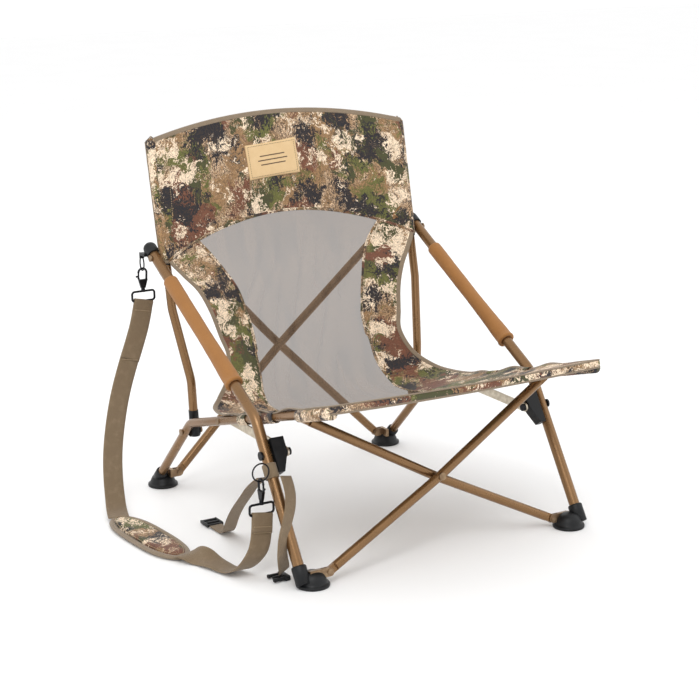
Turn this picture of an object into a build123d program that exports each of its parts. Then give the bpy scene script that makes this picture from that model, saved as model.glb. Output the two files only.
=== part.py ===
from build123d import *
import os
from math import atan2, cos, degrees, hypot, pi, radians, sin, tan

# Low folding camp chair: two side frames of hinged tube, a crossed tube pair in front and
# another behind, a slung fabric seat and back, and a carry strap clipped to the left side.
# Millimetres. +Z is up, the seat opens towards -Y, +X is the sitter's left hand seen from the
# front, and the origin is on the floor under the middle of the chair.

os.makedirs("parts", exist_ok=True)

# ---- driving dimensions ---------------------------------------------------------------
ARM_X = 280.0                     # plane of the front leg and arm tube, each side
RAIL_X = 258.0                    # plane of the rear leg and seat rail tube
POST_X = 261.0                    # upper back post
POST_FOOT_X = 241.0               # lower end of the back post
LINK_X = 242.5                    # middle of the flat link
ARM_OD = 19.0
TUBE_OD = 16.0
WALL = 1.2
FIT = 0.05                        # radial clearance of a pin that turns in its hole

FOOT_D = 56.5
FOOT_LIP = 5.0
GRIP_OD = 26.5

# pivots in the side view, as (y, z)
ARM_PIVOT = (243.5, 457.3)        # arm tube on back post
REAR_PIVOT = (191.5, 140.5)       # back post on rear leg
LINK_FRONT = (-166.5, 195.0)      # link on front leg
LINK_REAR = (41.0, 198.5)         # link on seat rail
FRONT_PIN = (-274.0, 18.0)        # front cross tubes at the front feet
FRONT_CROSS_UP = 116.9             # from the front pins up to the crossing, along the lean
FRONT_TOP = (-221.0, 264.5)       # front cross tubes at the seat rails
REAR_PIN = (309.0, 28.0)          # rear cross tubes at the rear feet
REAR_CROSS = (309.0, 249.0)
REAR_TOP = (256.0, 494.0)         # rear cross tubes at the sliding collars
FRONT_PIN_X = 232.0
FRONT_TOP_X = 237.0
REAR_PIN_X = 225.0
REAR_TOP_X = 241.0

# tube centre lines in the side view, as (y, z)
ARM_LINE = [(-282.9, 10.0), (-131.0, 249.0), (265.0, 469.0)]
RAIL_LINE = [(326.6, 10.0), (169.0, 162.3), (-345.0, 308.0)]
POST_TOP = (287.0, 665.0)
POST_BEND = (224.0, 364.0)
POST_LOW_BEND = (190.0, 235.0)
POST_END = (188.5, 146.0)

FRONT_FOOT = (259.5, -278.0)
REAR_FOOT = (249.5, 319.9)

CROSS_OFFSET = 8.4                # each crossed tube stands this far off their shared plane
FRONT_RIVET_R = 3.5
CROSS_BEND = 700.0                # gentle bend of the cross tubes at the crossing
EYE_T = 6.0
EYE_R = 8.0
PIN_R = 3.0

CAP_RING = (-293.0, 277.0, 443.0)
CAP_RING_TALL = 13.0               # half the height of the wire ring under the arm cap

STRAP_T = 10.0                    # plain tube that stands for the 38 mm carry strap
TAIL_T = 8.0                      # plain tube that stands for the 25 mm closing strap


# ---- small helpers --------------------------------------------------------------------
def save(name, shape):
    """Writes one node."""
    shape = shape if isinstance(shape, (Solid, Compound, Part)) else Part() + shape
    export_step(shape, f"parts/{name}.step")


def save_both(name, right):
    """Writes the right-hand piece and its mirror image."""
    save(name + "_right", right)
    save(name + "_left", mirror(right, Plane.YZ))


def rod(start, end, radius, inner=0.0):
    """A round bar, or a tube if inner is given, from start to end."""
    a, b = Vector(*start), Vector(*end)
    place = Plane(origin=a, z_dir=(b - a).normalized())
    face = place * (Circle(radius) - Circle(inner) if inner else Circle(radius))
    return extrude(face, (b - a).length)


def along_x(x0, x1, yz, radius):
    """A round bar along X at the side-view point yz."""
    return rod((x0, *yz), (x1, *yz), radius)


def route(points, radii):
    """Straight runs joined by arcs."""
    return FilletPolyline(*points, radius=radii) if len(points) > 2 else Line(*points)


def swept(points, radii, outer, inner=0.0):
    """A round section, hollow if inner is given, along straight runs and arcs."""
    path = route(points, radii)
    start = Plane(origin=path @ 0, z_dir=path % 0)
    face = start * (Circle(outer) - Circle(inner) if inner else Circle(outer))
    return sweep(face, path=path)


def unit(a, b):
    """Unit side-view direction from a to b."""
    length = hypot(b[0] - a[0], b[1] - a[1])
    return ((b[0] - a[0]) / length, (b[1] - a[1]) / length)


def at_x(x, points):
    """Side-view points placed in the plane of constant x."""
    return [(x, *p) for p in points]


def shifted(point, direction, distance):
    """A point moved along a direction."""
    return tuple(p + distance * d for p, d in zip(point, direction))


def keep_x(shape, x_low, x_high):
    """The part of a shape between two x planes."""
    slab = Pos((x_low + x_high) / 2, 0, 350) * Box(x_high - x_low, 1500, 1500)
    return shape & slab


# ---- side frame: front leg and arm ----------------------------------------------------
leg_dir = (0.0, *unit(ARM_LINE[0], ARM_LINE[1]))
arm_dir = (0.0, *unit(ARM_LINE[1], ARM_LINE[2]))
arm_end = (ARM_X, *ARM_LINE[2])


def on_leg(z):
    """Point on the front leg's centre line at height z."""
    return (ARM_X, ARM_LINE[0][0] + (z - ARM_LINE[0][1]) * leg_dir[1] / leg_dir[2], z)


BOLT_R = 3.0
LEG_BOLT_R = 4.0


def arm_tube():
    tube = swept(at_x(ARM_X, ARM_LINE), 55, ARM_OD / 2, ARM_OD / 2 - WALL)
    tube -= along_x(ARM_X - 15, ARM_X + 15, ARM_PIVOT, BOLT_R)
    tube -= along_x(ARM_X - 15, ARM_X + 15, LINK_FRONT, LEG_BOLT_R)
    return tube


def arm_grip():
    low, high = 84.0, 363.0                     # distances along the arm from the bend
    bend = (ARM_X, *ARM_LINE[1])
    return rod(shifted(bend, arm_dir, low), shifted(bend, arm_dir, high), GRIP_OD / 2, ARM_OD / 2)


def arm_cap():
    skirt, wall, flat = 16.0, 3.0, 270.4
    radius = ARM_OD / 2 + wall
    body = rod(shifted(arm_end, arm_dir, -skirt), shifted(arm_end, arm_dir, 2), radius)
    dome = Pos(*shifted(arm_end, arm_dir, 2)) * Sphere(radius)
    body += dome & rod(shifted(arm_end, arm_dir, 1), shifted(arm_end, arm_dir, 9), radius)
    body -= rod(shifted(arm_end, arm_dir, -skirt - 1), arm_end, ARM_OD / 2)
    body = keep_x(body, flat, ARM_X + 40)
    eyelet = (-CAP_RING[0], CAP_RING[1], CAP_RING[2] + CAP_RING_TALL)
    tab = Pos(eyelet[0], eyelet[1] - 9, eyelet[2] + 5) * Box(8, 22, 5)
    tab += Pos(eyelet[0], eyelet[1], eyelet[2] + 1) * Box(8, 4, 9)
    tab -= rod(shifted(arm_end, arm_dir, -40), arm_end, ARM_OD / 2)
    tab -= rod(shifted(eyelet, (0, 1, 0), -5), shifted(eyelet, (0, 1, 0), 5), 1.7)
    return body + tab


def arm_pivot_bolt():
    inner, outer = POST_X - 11.0, ARM_X + 9.6
    bolt = along_x(inner, outer, ARM_PIVOT, BOLT_R)
    return bolt + along_x(outer, outer + 3, ARM_PIVOT, 6.0)


def leg_bracket():
    """Black wedge on the inner side of the front leg, round the link's bolt."""
    face, half = 270.4, 10.0
    outline = [(face, -34), (260, -34), (246, -2), (246, 25), (face, 25)]
    frame = Plane(origin=(0, *LINK_FRONT), x_dir=(1, 0, 0), z_dir=(0, -leg_dir[2], leg_dir[1]))
    block = extrude(frame * make_face(Polyline(*outline, close=True)), half, both=True)
    return block - along_x(230, 290, LINK_FRONT, LEG_BOLT_R)


def leg_bolt():
    inner, outer = 236.5, ARM_X + 9.6
    bolt = along_x(inner, outer, LINK_FRONT, LEG_BOLT_R)
    bolt += along_x(outer, outer + 3, LINK_FRONT, 7.5)
    return bolt + along_x(inner, inner + 4, LINK_FRONT, 6.5)


# ---- feet -----------------------------------------------------------------------------
def foot(centre, tube_x, line, tube_od, clevis, socket_wall=3.0, socket_top=30.0):
    """Round rubber foot with a socket for the leg tube and room for its clevis."""
    lip = Pos(*centre, FOOT_LIP / 2) * Cylinder(FOOT_D / 2, FOOT_LIP)
    cone = Pos(*centre, FOOT_LIP + 5) * Cone(FOOT_D / 2 - 5, 15, 10)
    direction = (0.0, *unit(line[0], line[1]))
    end = (tube_x, *line[0])
    top = shifted(end, direction, (socket_top - end[2]) / direction[2])
    radius = tube_od / 2 + socket_wall
    socket = rod(shifted(end, direction, -10), top, radius)
    body = lip + cone + socket
    body &= Pos(*centre, 30) * Box(140, 140, 60)
    body -= rod(end, shifted(top, direction, 30), tube_od / 2)
    return body - clevis


# ---- front cross tubes and their fittings ---------------------------------------------
front_up = (0.0, *unit(FRONT_PIN, FRONT_TOP))
FRONT_CROSS = shifted(FRONT_PIN, unit(FRONT_PIN, FRONT_TOP), FRONT_CROSS_UP)
front_normal = (0.0, -front_up[2], front_up[1])        # out of the front of the crossed pair


def cross_tube(pin, middle, top, normal, offset, rivet_r):
    """A cross tube with flat eyes, `offset` along the normal from the pair's shared plane."""
    lift = Vector(*normal) * offset
    p0, p1, p2 = (Vector(*p) + lift for p in (pin, middle, top))
    tuck = 15.0
    d0, d1 = (p1 - p0).normalized(), (p2 - p1).normalized()
    tube = swept([p0 + d0 * tuck, p1, p2 - d1 * tuck], CROSS_BEND, TUBE_OD / 2, TUBE_OD / 2 - WALL)
    for centre, toward in ((p0, d0), (p2, -d1)):
        tube += eye(centre, toward, normal, tuck + 6)
    if rivet_r:
        tube -= rod(p1 - Vector(*normal) * 12, p1 + Vector(*normal) * 12, rivet_r)
    return tube


def eye(centre, toward, normal, length):
    """Flattened tube end with a pin hole; it runs `length` into the round tube."""
    place = Plane(origin=centre, x_dir=toward, z_dir=normal)
    width = 2 * 7.2
    plate = place * (Circle(EYE_R - 0.8) + Pos(length / 2, 0) * Rectangle(length, width))
    shoulder = place * (Pos(length - 5, 0, 0) * Rot(0, 90, 0) * Cylinder(TUBE_OD / 2 - 0.2, 2))
    solid = extrude(plate, EYE_T / 2, both=True) + shoulder
    return solid - place * Cylinder(PIN_R + FIT, EYE_T + 4)


def clevis(pin, normal, offset, reach, base_x, side=1):
    """Steel fork round an eye: two cheeks, a web towards the foot, and the rivet."""
    cheek, gap = 2.2, 0.3
    place = Plane(origin=Vector(*pin) + Vector(*normal) * offset, x_dir=(side, 0, 0), z_dir=normal)
    outline = place * (Circle(EYE_R - 0.5) + Pos(reach / 2, 0) * Rectangle(reach, 2 * EYE_R - 1))
    inside = EYE_T / 2 + gap
    fork = extrude(outline, inside + cheek, both=True)
    fork -= extrude(outline, inside, both=True) & keep_x_local(place, -20, base_x)
    rivet = place * Cylinder(PIN_R, 2 * (inside + cheek) + 3)
    heads = place * (Pos(0, 0, inside + cheek + 0.9) * Cylinder(5, 1.8))
    heads += place * (Pos(0, 0, -inside - cheek - 0.9) * Cylinder(5, 1.8))
    return fork + rivet + heads


def keep_x_local(place, low, high):
    """Block between two distances along a plane's own x."""
    return place * (Pos((low + high) / 2, 0, 0) * Box(high - low, 60, 60))


front_clevis_left = clevis((-FRONT_PIN_X, *FRONT_PIN), front_normal, CROSS_OFFSET, 36, 13, -1)
front_clevis_right = clevis((FRONT_PIN_X, *FRONT_PIN), front_normal, -CROSS_OFFSET, 36, 13, 1)

front_a = cross_tube(
    (-FRONT_PIN_X, *FRONT_PIN), (0, *FRONT_CROSS), (FRONT_TOP_X, *FRONT_TOP),
    front_normal, CROSS_OFFSET, FRONT_RIVET_R,
)
front_b = cross_tube(
    (FRONT_PIN_X, *FRONT_PIN), (0, *FRONT_CROSS), (-FRONT_TOP_X, *FRONT_TOP),
    front_normal, -CROSS_OFFSET, FRONT_RIVET_R + FIT,
)


def front_rivet():
    centre = Vector(0, *FRONT_CROSS)
    normal = Vector(*front_normal)
    half = CROSS_OFFSET + TUBE_OD / 2 + 0.4
    rivet = rod(centre - normal * half, centre + normal * half, FRONT_RIVET_R)
    for sign in (-1, 1):
        rivet += rod(centre + normal * sign * half, centre + normal * sign * (half + 2.5), 6.5)
    return rivet


def rail_lug():
    """Steel saddle on the inner side of the seat rail, beside a cross tube's upper end."""
    rail_dir = unit(RAIL_LINE[1], RAIL_LINE[2])
    frame = Plane(origin=(RAIL_X, *on_rail(FRONT_TOP[0])), x_dir=(0, *rail_dir), z_dir=(1, 0, 0))
    saddle = frame * Pos(0, 0, -8.9) * Box(34, 14.5, 1.7)
    return saddle - frame * Rot(0, 90, 0) * Cylinder(TUBE_OD / 2, 60)


def on_rail(y):
    """Side-view point on the seat rail's centre line at y."""
    d = unit(RAIL_LINE[1], RAIL_LINE[2])
    return (y, RAIL_LINE[1][1] + (y - RAIL_LINE[1][0]) * d[1] / d[0])


# ---- side frame: rear leg and seat rail -----------------------------------------------
RAIL_RIVET_R = 3.5
STUB_R = 4.0


def seat_rail():
    tube = swept(at_x(RAIL_X, RAIL_LINE), 45, TUBE_OD / 2, TUBE_OD / 2 - WALL)
    tube -= along_x(RAIL_X - 12, RAIL_X + 12, REAR_PIVOT, BOLT_R)
    tube -= along_x(RAIL_X - 12, RAIL_X + 12, LINK_REAR, RAIL_RIVET_R)
    return tube - along_x(RAIL_X - 12, RAIL_X - 4, REAR_PIN, STUB_R + FIT)


def rail_rivet():
    inner, outer = RAIL_X - 8.4, RAIL_X + 8.05
    return along_x(inner, outer, LINK_REAR, RAIL_RIVET_R) + along_x(outer, outer + 1.3, LINK_REAR, 6.0)


def rear_pivot_bolt():
    inner, outer = POST_FOOT_X - 12.0, RAIL_X + 8.1
    bolt = along_x(inner, outer, REAR_PIVOT, BOLT_R)
    bolt += along_x(outer, outer + 2.4, REAR_PIVOT, 6.0)
    return bolt + along_x(inner - 2.4, inner, REAR_PIVOT, 6.0)


def seat_link():
    thickness, half_height = 3.0, 8.0
    direction = unit(LINK_FRONT, LINK_REAR)
    length = hypot(LINK_REAR[0] - LINK_FRONT[0], LINK_REAR[1] - LINK_FRONT[1])
    frame = Plane(origin=(LINK_X, *LINK_FRONT), x_dir=(0, *direction), z_dir=(1, 0, 0))
    bar = frame * (
        Pos(length / 2, 0) * Rectangle(length, 2 * half_height)
        + Circle(half_height)
        + Pos(length, 0) * Circle(half_height)
    )
    link = extrude(bar, thickness / 2, both=True)
    link += along_x(LINK_X, RAIL_X - 9.0, LINK_REAR, 6.5)
    link += along_x(LINK_X - 4, LINK_X, LINK_REAR, 5.0)
    return link - along_x(LINK_X - 5, LINK_X + 5, LINK_FRONT, LEG_BOLT_R + FIT)


def rear_clevis(side, offset):
    """Fork for a rear cross tube; its stub turns in the rear leg, so the pair can lean."""
    pin = (side * REAR_PIN_X, *REAR_PIN)
    fork = clevis(pin, (0, -1, 0), offset, 19, 12, side)
    web_x = side * (REAR_PIN_X + 16)
    fork += Pos(web_x, REAR_PIN[0], REAR_PIN[1]) * Box(6, 2 * CROSS_OFFSET + 6, 15)
    start, end = side * (REAR_PIN_X + 16), side * (RAIL_X - 6.5)
    return fork + rod((start, *REAR_PIN), (end, *REAR_PIN), STUB_R)


rear_normal = (0.0, -1.0, 0.0)
rear_a = cross_tube(
    (-REAR_PIN_X, *REAR_PIN), (0, *REAR_CROSS), (REAR_TOP_X, *REAR_TOP),
    rear_normal, CROSS_OFFSET, 0,
)
rear_b = cross_tube(
    (REAR_PIN_X, *REAR_PIN), (0, *REAR_CROSS), (-REAR_TOP_X, *REAR_TOP),
    rear_normal, -CROSS_OFFSET, 0,
)


# ---- side frame: back post ------------------------------------------------------------
post_dir = (0.0, *unit(POST_BEND, POST_TOP))
POST_POINTS = [
    (POST_X, *POST_TOP), (POST_X, *POST_BEND), (POST_FOOT_X + 3, *POST_LOW_BEND),
    (POST_FOOT_X, *POST_END),
]


def on_post(z):
    """Point on the upper back post's centre line at height z."""
    return (POST_X, POST_BEND[0] + (z - POST_BEND[1]) * post_dir[1] / post_dir[2], z)


def back_post():
    tube = swept(POST_POINTS, 70, TUBE_OD / 2, TUBE_OD / 2 - WALL)
    return tube - along_x(POST_X - 12, POST_X + 12, ARM_PIVOT, BOLT_R + FIT)


def post_collar():
    low, high, radius = 442.0, 474.0, 9.3
    collar = rod(on_post(low), on_post(high), radius, TUBE_OD / 2)
    return collar - along_x(POST_X - 12, POST_X + 12, ARM_PIVOT, BOLT_R + FIT)


def post_bracket():
    """Black socket at the lower end of the post, hung on the rear leg's bolt."""
    radius, low = 8.9, 131.0
    end, above = POST_POINTS[3], POST_POINTS[2]
    direction = (Vector(*above) - Vector(*end)).normalized()
    bottom = Vector(*end) - direction * (end[2] - low)
    body = rod(tuple(bottom), tuple(Vector(*end) + direction * 34), radius)
    body += Pos(POST_FOOT_X, *REAR_PIVOT) * Rot(0, 90, 0) * Cylinder(11, 2 * 8.6)
    body -= rod(end, tuple(Vector(*end) + direction * 40), TUBE_OD / 2)
    return body - along_x(220, 262, REAR_PIVOT, BOLT_R + FIT)


def post_slider(side, offset):
    """Collar that runs on the post, open in front for the cloth, with a cheek for the eye."""
    low, high, radius = 485.0, 507.0, 9.5
    sleeve = rod(on_post(low), on_post(high), radius)
    eye_y = REAR_TOP[0] - offset
    cheek_y = eye_y + (10.0 if offset > 0 else -9.6)
    cheek = Pos((234 + 262) / 2, cheek_y, REAR_TOP[1]) * Box(262 - 234, 3, 18)
    body = sleeve + cheek
    body -= rod(on_post(low - 5), on_post(high + 5), TUBE_OD / 2 + FIT + 0.03)
    frame = Plane(origin=on_post((low + high) / 2), x_dir=(1, 0, 0), z_dir=post_dir)
    body -= frame * Pos(0, -17.6, 0) * Box(60, 20, 60)
    return body if side > 0 else mirror(body, Plane.YZ)


# ---- fabric ---------------------------------------------------------------------------
SEAT_HALF = 263.0
SEAT_LIFT = 8.7                   # underside of the cloth above the rail's centre line
CLOTH = 3.5


def seat_sling():
    """Flat seat cloth over the rails, curving up at the rear towards the back cloth."""
    tip, rear = on_rail(-345.0), on_rail(52.0)
    line = [
        (tip[0], tip[1] + SEAT_LIFT + CLOTH / 2),
        (rear[0], rear[1] + SEAT_LIFT + CLOTH / 2),
        (118.0, 212.0),
        (150.0, 250.0),
        (162.0, 276.0),
    ]
    path = FilletPolyline(*line, radius=[60, 30, 30])
    side = Plane(origin=(0, 0, 0), x_dir=(0, 1, 0), z_dir=(1, 0, 0))
    strip = extrude(side * trace(path, CLOTH), SEAT_HALF, both=True)
    plan = [
        (SEAT_HALF, -360), (SEAT_HALF, 45), (247, 96), (225, 115), (201, 134), (188, 152),
        (186, 180),
    ]
    outline = plan + [(-x, y) for x, y in reversed(plan)]
    return strip & extrude(make_face(Polyline(*outline, close=True)), 400)


def back_sling():
    """Back cloth before the posts, narrowing to the waist where it meets the seat cloth."""
    front = TUBE_OD / 2 + 1.6 + CLOTH / 2
    line = [
        (POST_TOP[0] + 6 - front, 702.0),
        (on_post(470)[1] - front, 470.0),
        (201.0, 380.0),
        (164.5, 281.5),
    ]
    path = FilletPolyline(*line, radius=[90, 90])
    side = Plane(origin=(0, 0, 0), x_dir=(0, 1, 0), z_dir=(1, 0, 0))
    strip = extrude(side * trace(path, CLOTH), SEAT_HALF + 5, both=True)
    edge = [
        (186, 270), (186, 290), (195, 312), (203, 350), (211, 375), (222, 397), (240, 418),
        (257, 440), (267, 462), (268, 520), (265, 600), (264, 667),
    ]
    front_plane = Plane(origin=(0, 400, 0), x_dir=(1, 0, 0), z_dir=(0, -1, 0))
    left_edge = [(-x, z) for x, z in reversed(edge)]
    outline = (
        Polyline(*edge)
        + ThreePointArc((264, 667), (0, 701), (-264, 667))
        + Polyline(*left_edge)
        + Line((-186, 270), (186, 270))
    )
    return strip & extrude(front_plane * make_face(outline), 400)


# ---- carry strap and closing strap ----------------------------------------------------
HOOK_LENGTH = 44.0
LEG_RING = (-307.0, -196.0, 178.0)
LEG_RING_R = 15.0

UPPER_ROUTE = [
    (-294.0, 277.0, 370.5), (-300.5, 277.0, 338.0), (-314.0, 276.0, 300.0),
    (-333.0, 273.0, 255.0), (-351.0, 270.0, 205.0), (-365.0, 264.0, 155.0),
    (-376.0, 256.0, 105.0), (-382.5, 244.0, 60.0), (-389.0, 222.0, 22.0),
    (-397.0, 197.0, 8.5), (-404.0, 173.0, 8.0),
]
LOWER_ROUTE = [
    (-390.0, -55.0, 8.0), (-373.0, -87.0, 6.0), (-357.0, -122.0, 5.2),
    (-347.0, -155.0, 6.5), (-341.0, -184.0, 14.0), (-328.0, -202.0, 34.0),
    (-313.0, -206.0, 62.0), (-306.5, -199.0, 94.0),
]
TAIL_ONE = [
    (-293.5, -176.0, 161.0), (-299.5, -156.0, 146.0), (-298.0, -120.0, 112.0),
    (-293.0, -82.0, 82.0), (-284.0, -42.0, 48.0), (-274.0, -8.0, 17.0),
    (-269.5, 14.0, 5.2), (-270.0, 34.0, 4.6), (-270.5, 54.0, 5.0),
]
TAIL_TWO = [
    (-264.0, -201.0, 166.0), (-264.5, -216.0, 150.0), (-272.0, -232.0, 128.0),
    (-284.0, -243.0, 106.0), (-297.0, -250.0, 84.0), (-300.0, -250.0, 58.0),
    (-294.0, -241.0, 36.0), (-287.0, -232.0, 21.0), (-284.5, -226.5, 13.0),
]


def cord_tube(points, diameter):
    """A plain tube on a free route, its arcs as large as the runs allow."""
    vectors = [Vector(*p) for p in points]
    runs = [(b - a).length for a, b in zip(vectors, vectors[1:])]
    radii = []
    for i in range(1, len(vectors) - 1):
        turn = (vectors[i] - vectors[i - 1]).get_angle(vectors[i + 1] - vectors[i])
        radii.append(0.45 * min(runs[i - 1], runs[i]) / tan(radians(turn / 2)))
    return swept(points, radii, diameter / 2)


def shoulder_pad():
    """Padded band on the floor, rounded at its ends."""
    start, end = Vector(*UPPER_ROUTE[-1][:2]), Vector(*LOWER_ROUTE[0][:2])
    middle, run = (start + end) * 0.5, end - start
    length, width, height = run.length + 12, 62.0, 13.0
    block = Pos(middle.X, middle.Y, height / 2) * Rot(0, 0, degrees(atan2(run.Y, run.X)))
    pad = block * Box(length, width, height)
    return fillet(pad.edges().filter_by(Axis.Z), 26)


def hook_plane(top, turn):
    """Upright plane with local y up and its origin at the hook's top, turned about Z."""
    return Plane(origin=top, x_dir=(cos(turn), sin(turn), 0), z_dir=(sin(turn), -cos(turn), 0))


def snap_hook(top, turn):
    """Bent-wire snap hook with a tapered stem and a swivel barrel below it."""
    wire, bow = 2.0, 7.0
    place = hook_plane(top, turn)
    side = (bow + 1.0, -10.0)
    line = Line((bow, -25.0), side) + ThreePointArc(side, (0, -wire), (-side[0], side[1]))
    path = place * line
    wire_body = sweep(Plane(origin=path @ 0, z_dir=path % 0) * Circle(wire), path=path)
    stem = place * make_face(
        Polyline((-8.5, -22), (9, -22), (4.2, -38), (-4.2, -38), close=True)
    )
    body = wire_body + extrude(stem, 2.6, both=True)
    barrel = place * (Pos(0, 3 - HOOK_LENGTH, 0) * Rot(90, 0, 0) * Cylinder(3.6, 9))
    hole = Pos(*top) * Pos(0, 0, -HOOK_LENGTH) * Rot(0, 90, 0) * Cylinder(2.2, 30)
    return body + barrel - hole


def hook_gate(top, turn):
    """Sprung gate that closes the hook, hinged on the stem's shoulder, with its thumb nub."""
    place = hook_plane(top, turn)
    x, low, high, barrel_r = -8.0, -20.2, -10.5, 1.7
    bar = place * (Pos(x, (low + high) / 2, 0) * Rot(90, 0, 0) * Cylinder(1.6, high - low))
    nub = place * (Pos(x - 3.0, low + 4.0, 0) * Box(4, 3, 3))
    return bar + nub + place * (Pos(x, low, 0) * Cylinder(barrel_r, 3.6))


def strap_loop(top):
    """Rounded rectangular wire loop that the webbing is sewn round."""
    wire, half, drop = 2.0, 22.0, 18.0
    place = hook_plane((top[0], top[1], top[2] - HOOK_LENGTH), 0)
    ring = RectangleRounded(2 * half, drop, 5)
    path = place * Pos(0, -drop / 2) * ring.wire()
    return sweep(Plane(origin=path @ 0, z_dir=path % 0) * Circle(wire), path=path)


def cap_ring():
    """Wire ring that hangs from the arm cap's eyelet and holds the upper hook."""
    place = Plane(origin=CAP_RING, x_dir=(0, 1, 0), z_dir=(1, 0, 0))
    path = place * Ellipse(8.5, CAP_RING_TALL).wire()
    return sweep(Plane(origin=path @ 0, z_dir=path % 0) * Circle(1.3), path=path)


def leg_ring():
    """Wire ring held to the left front leg by the closing strap; it holds the lower hook."""
    return Plane(origin=LEG_RING, x_dir=(1, 0, 0), z_dir=(0, -1, 0)) * Torus(LEG_RING_R, 1.3)


def ladder_lock():
    """Buckle frame with two slots and a bar."""
    centre = (TAIL_ONE[-1][0], TAIL_ONE[-1][1] + 14.0)
    frame = Pos(*centre, 5.0) * Box(32, 30, 6)
    for shift in (-8.0, 7.5):
        frame -= Pos(centre[0], centre[1] + shift, 5.0) * Box(25, 7, 10)
    return frame


def side_release_plug():
    """Male half of a side-release buckle: a bar, a body and three prongs towards -X."""
    x, y = TAIL_TWO[-1][0], TAIL_TWO[-1][1]
    body = Pos(x, y, 5.0) * Box(10, 29, 8)
    for shift, length in ((-10.5, 22.0), (0.0, 18.0), (10.5, 22.0)):
        body += Pos(x - 5 - length / 2, y + shift, 5.0) * Box(length, 5.5, 6)
    return body


# ---- write the nodes ------------------------------------------------------------------
save_both("arm_leg_tube", arm_tube())
save_both("arm_grip", arm_grip())
save_both("arm_cap", arm_cap())
save_both("arm_pivot_bolt", arm_pivot_bolt())
save_both("leg_bracket", leg_bracket())
save_both("leg_bolt", leg_bolt())

for side, name, fork in ((-1, "left", front_clevis_left), (1, "right", front_clevis_right)):
    room = fork if side > 0 else mirror(fork, Plane.YZ)
    front_foot = foot(FRONT_FOOT, ARM_X, ARM_LINE, ARM_OD, room)
    rear_foot = foot(REAR_FOOT, RAIL_X, RAIL_LINE, TUBE_OD, along_x(230, 270, REAR_PIN, STUB_R + FIT))
    save("front_clevis_" + name, fork)
    save("front_foot_" + name, front_foot if side > 0 else mirror(front_foot, Plane.YZ))
    save("rear_foot_" + name, rear_foot if side > 0 else mirror(rear_foot, Plane.YZ))
    lean = CROSS_OFFSET if side < 0 else -CROSS_OFFSET
    save("rear_clevis_" + name, rear_clevis(side, lean))
    save("post_slider_" + name, post_slider(side, -lean))

save("front_cross_tube_a", front_a)
save("front_cross_tube_b", front_b)
save("front_cross_rivet", front_rivet())
save("rear_cross_tube_a", rear_a)
save("rear_cross_tube_b", rear_b)
save_both("rail_lug", rail_lug())

save_both("seat_rail", seat_rail())
save_both("rail_rivet", rail_rivet())
save_both("rear_pivot_bolt", rear_pivot_bolt())
save_both("seat_link", seat_link())
save_both("back_post", back_post())
save_both("post_collar", post_collar())
save_both("post_bracket", post_bracket())

save("seat_sling", seat_sling())
save("back_sling", back_sling())

wire_gap = 1.3 + 4.0 + 0.4          # from a ring's wire centre up to the top of the hook on it
upper_top = (CAP_RING[0], CAP_RING[1], CAP_RING[2] - CAP_RING_TALL + wire_gap)
lower_top = (LEG_RING[0], LEG_RING[1], LEG_RING[2] - LEG_RING_R + wire_gap)
for name, top, turn in (("upper", upper_top, 0.0), ("lower", lower_top, pi / 2)):
    save(name + "_snap_hook", snap_hook(top, turn))
    save(name + "_hook_gate", hook_gate(top, turn))
    save(name + "_strap_loop", strap_loop(top))
save("cap_ring", cap_ring())
save("leg_ring", leg_ring())
save("strap_webbing_upper", cord_tube(UPPER_ROUTE, STRAP_T))
save("strap_webbing_lower", cord_tube(LOWER_ROUTE, STRAP_T))
save("shoulder_pad", shoulder_pad())
save("closing_tail_one", cord_tube(TAIL_ONE, TAIL_T))
save("closing_tail_two", cord_tube(TAIL_TWO, TAIL_T))
save("ladder_lock", ladder_lock())
save("side_release_plug", side_release_plug())
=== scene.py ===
import bisect
import math

import bmesh
import bpy
from mathutils import Matrix, Vector, noise


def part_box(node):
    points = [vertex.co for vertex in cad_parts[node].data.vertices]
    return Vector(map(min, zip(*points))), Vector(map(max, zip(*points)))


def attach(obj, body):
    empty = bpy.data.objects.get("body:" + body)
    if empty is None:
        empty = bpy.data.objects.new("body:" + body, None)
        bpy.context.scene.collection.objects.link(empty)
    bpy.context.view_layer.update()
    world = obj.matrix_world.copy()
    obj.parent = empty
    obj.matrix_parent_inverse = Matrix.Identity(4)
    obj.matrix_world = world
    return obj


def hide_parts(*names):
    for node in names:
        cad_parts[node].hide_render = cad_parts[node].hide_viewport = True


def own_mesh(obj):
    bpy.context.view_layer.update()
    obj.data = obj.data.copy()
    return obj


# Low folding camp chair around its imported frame: a slung camouflage cloth with an open mesh
# panel, foam grips, a carry strap with its pad, and a closing strap. Metres, +Z up, the
# sitter faces -Y.

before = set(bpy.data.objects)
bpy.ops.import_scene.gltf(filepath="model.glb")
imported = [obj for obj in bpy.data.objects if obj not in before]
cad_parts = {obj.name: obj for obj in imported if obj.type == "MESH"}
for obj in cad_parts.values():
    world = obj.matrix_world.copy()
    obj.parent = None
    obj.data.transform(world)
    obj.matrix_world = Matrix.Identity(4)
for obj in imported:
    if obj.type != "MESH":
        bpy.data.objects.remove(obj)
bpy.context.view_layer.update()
MM = 0.001
SIDES = ((-1, "left"), (1, "right"))
X_AXIS, Z_AXIS = Vector((1, 0, 0)), Vector((0, 0, 1))


def around(side, other, angle):
    """Direction at an angle in the plane of two square unit directions."""
    return side * math.cos(angle) + other * math.sin(angle)


def add_object(name, data):
    obj = bpy.data.objects.new(name, data)
    bpy.context.scene.collection.objects.link(obj)
    return obj


# ---- camera ----
AZIMUTH, ELEVATION, ROLL = -30.50849, 14.23018, -0.68695    # degrees
CAMERA_PLACE = (-1.5570, -2.6059, 1.0697)
LENS = 90.37


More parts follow.
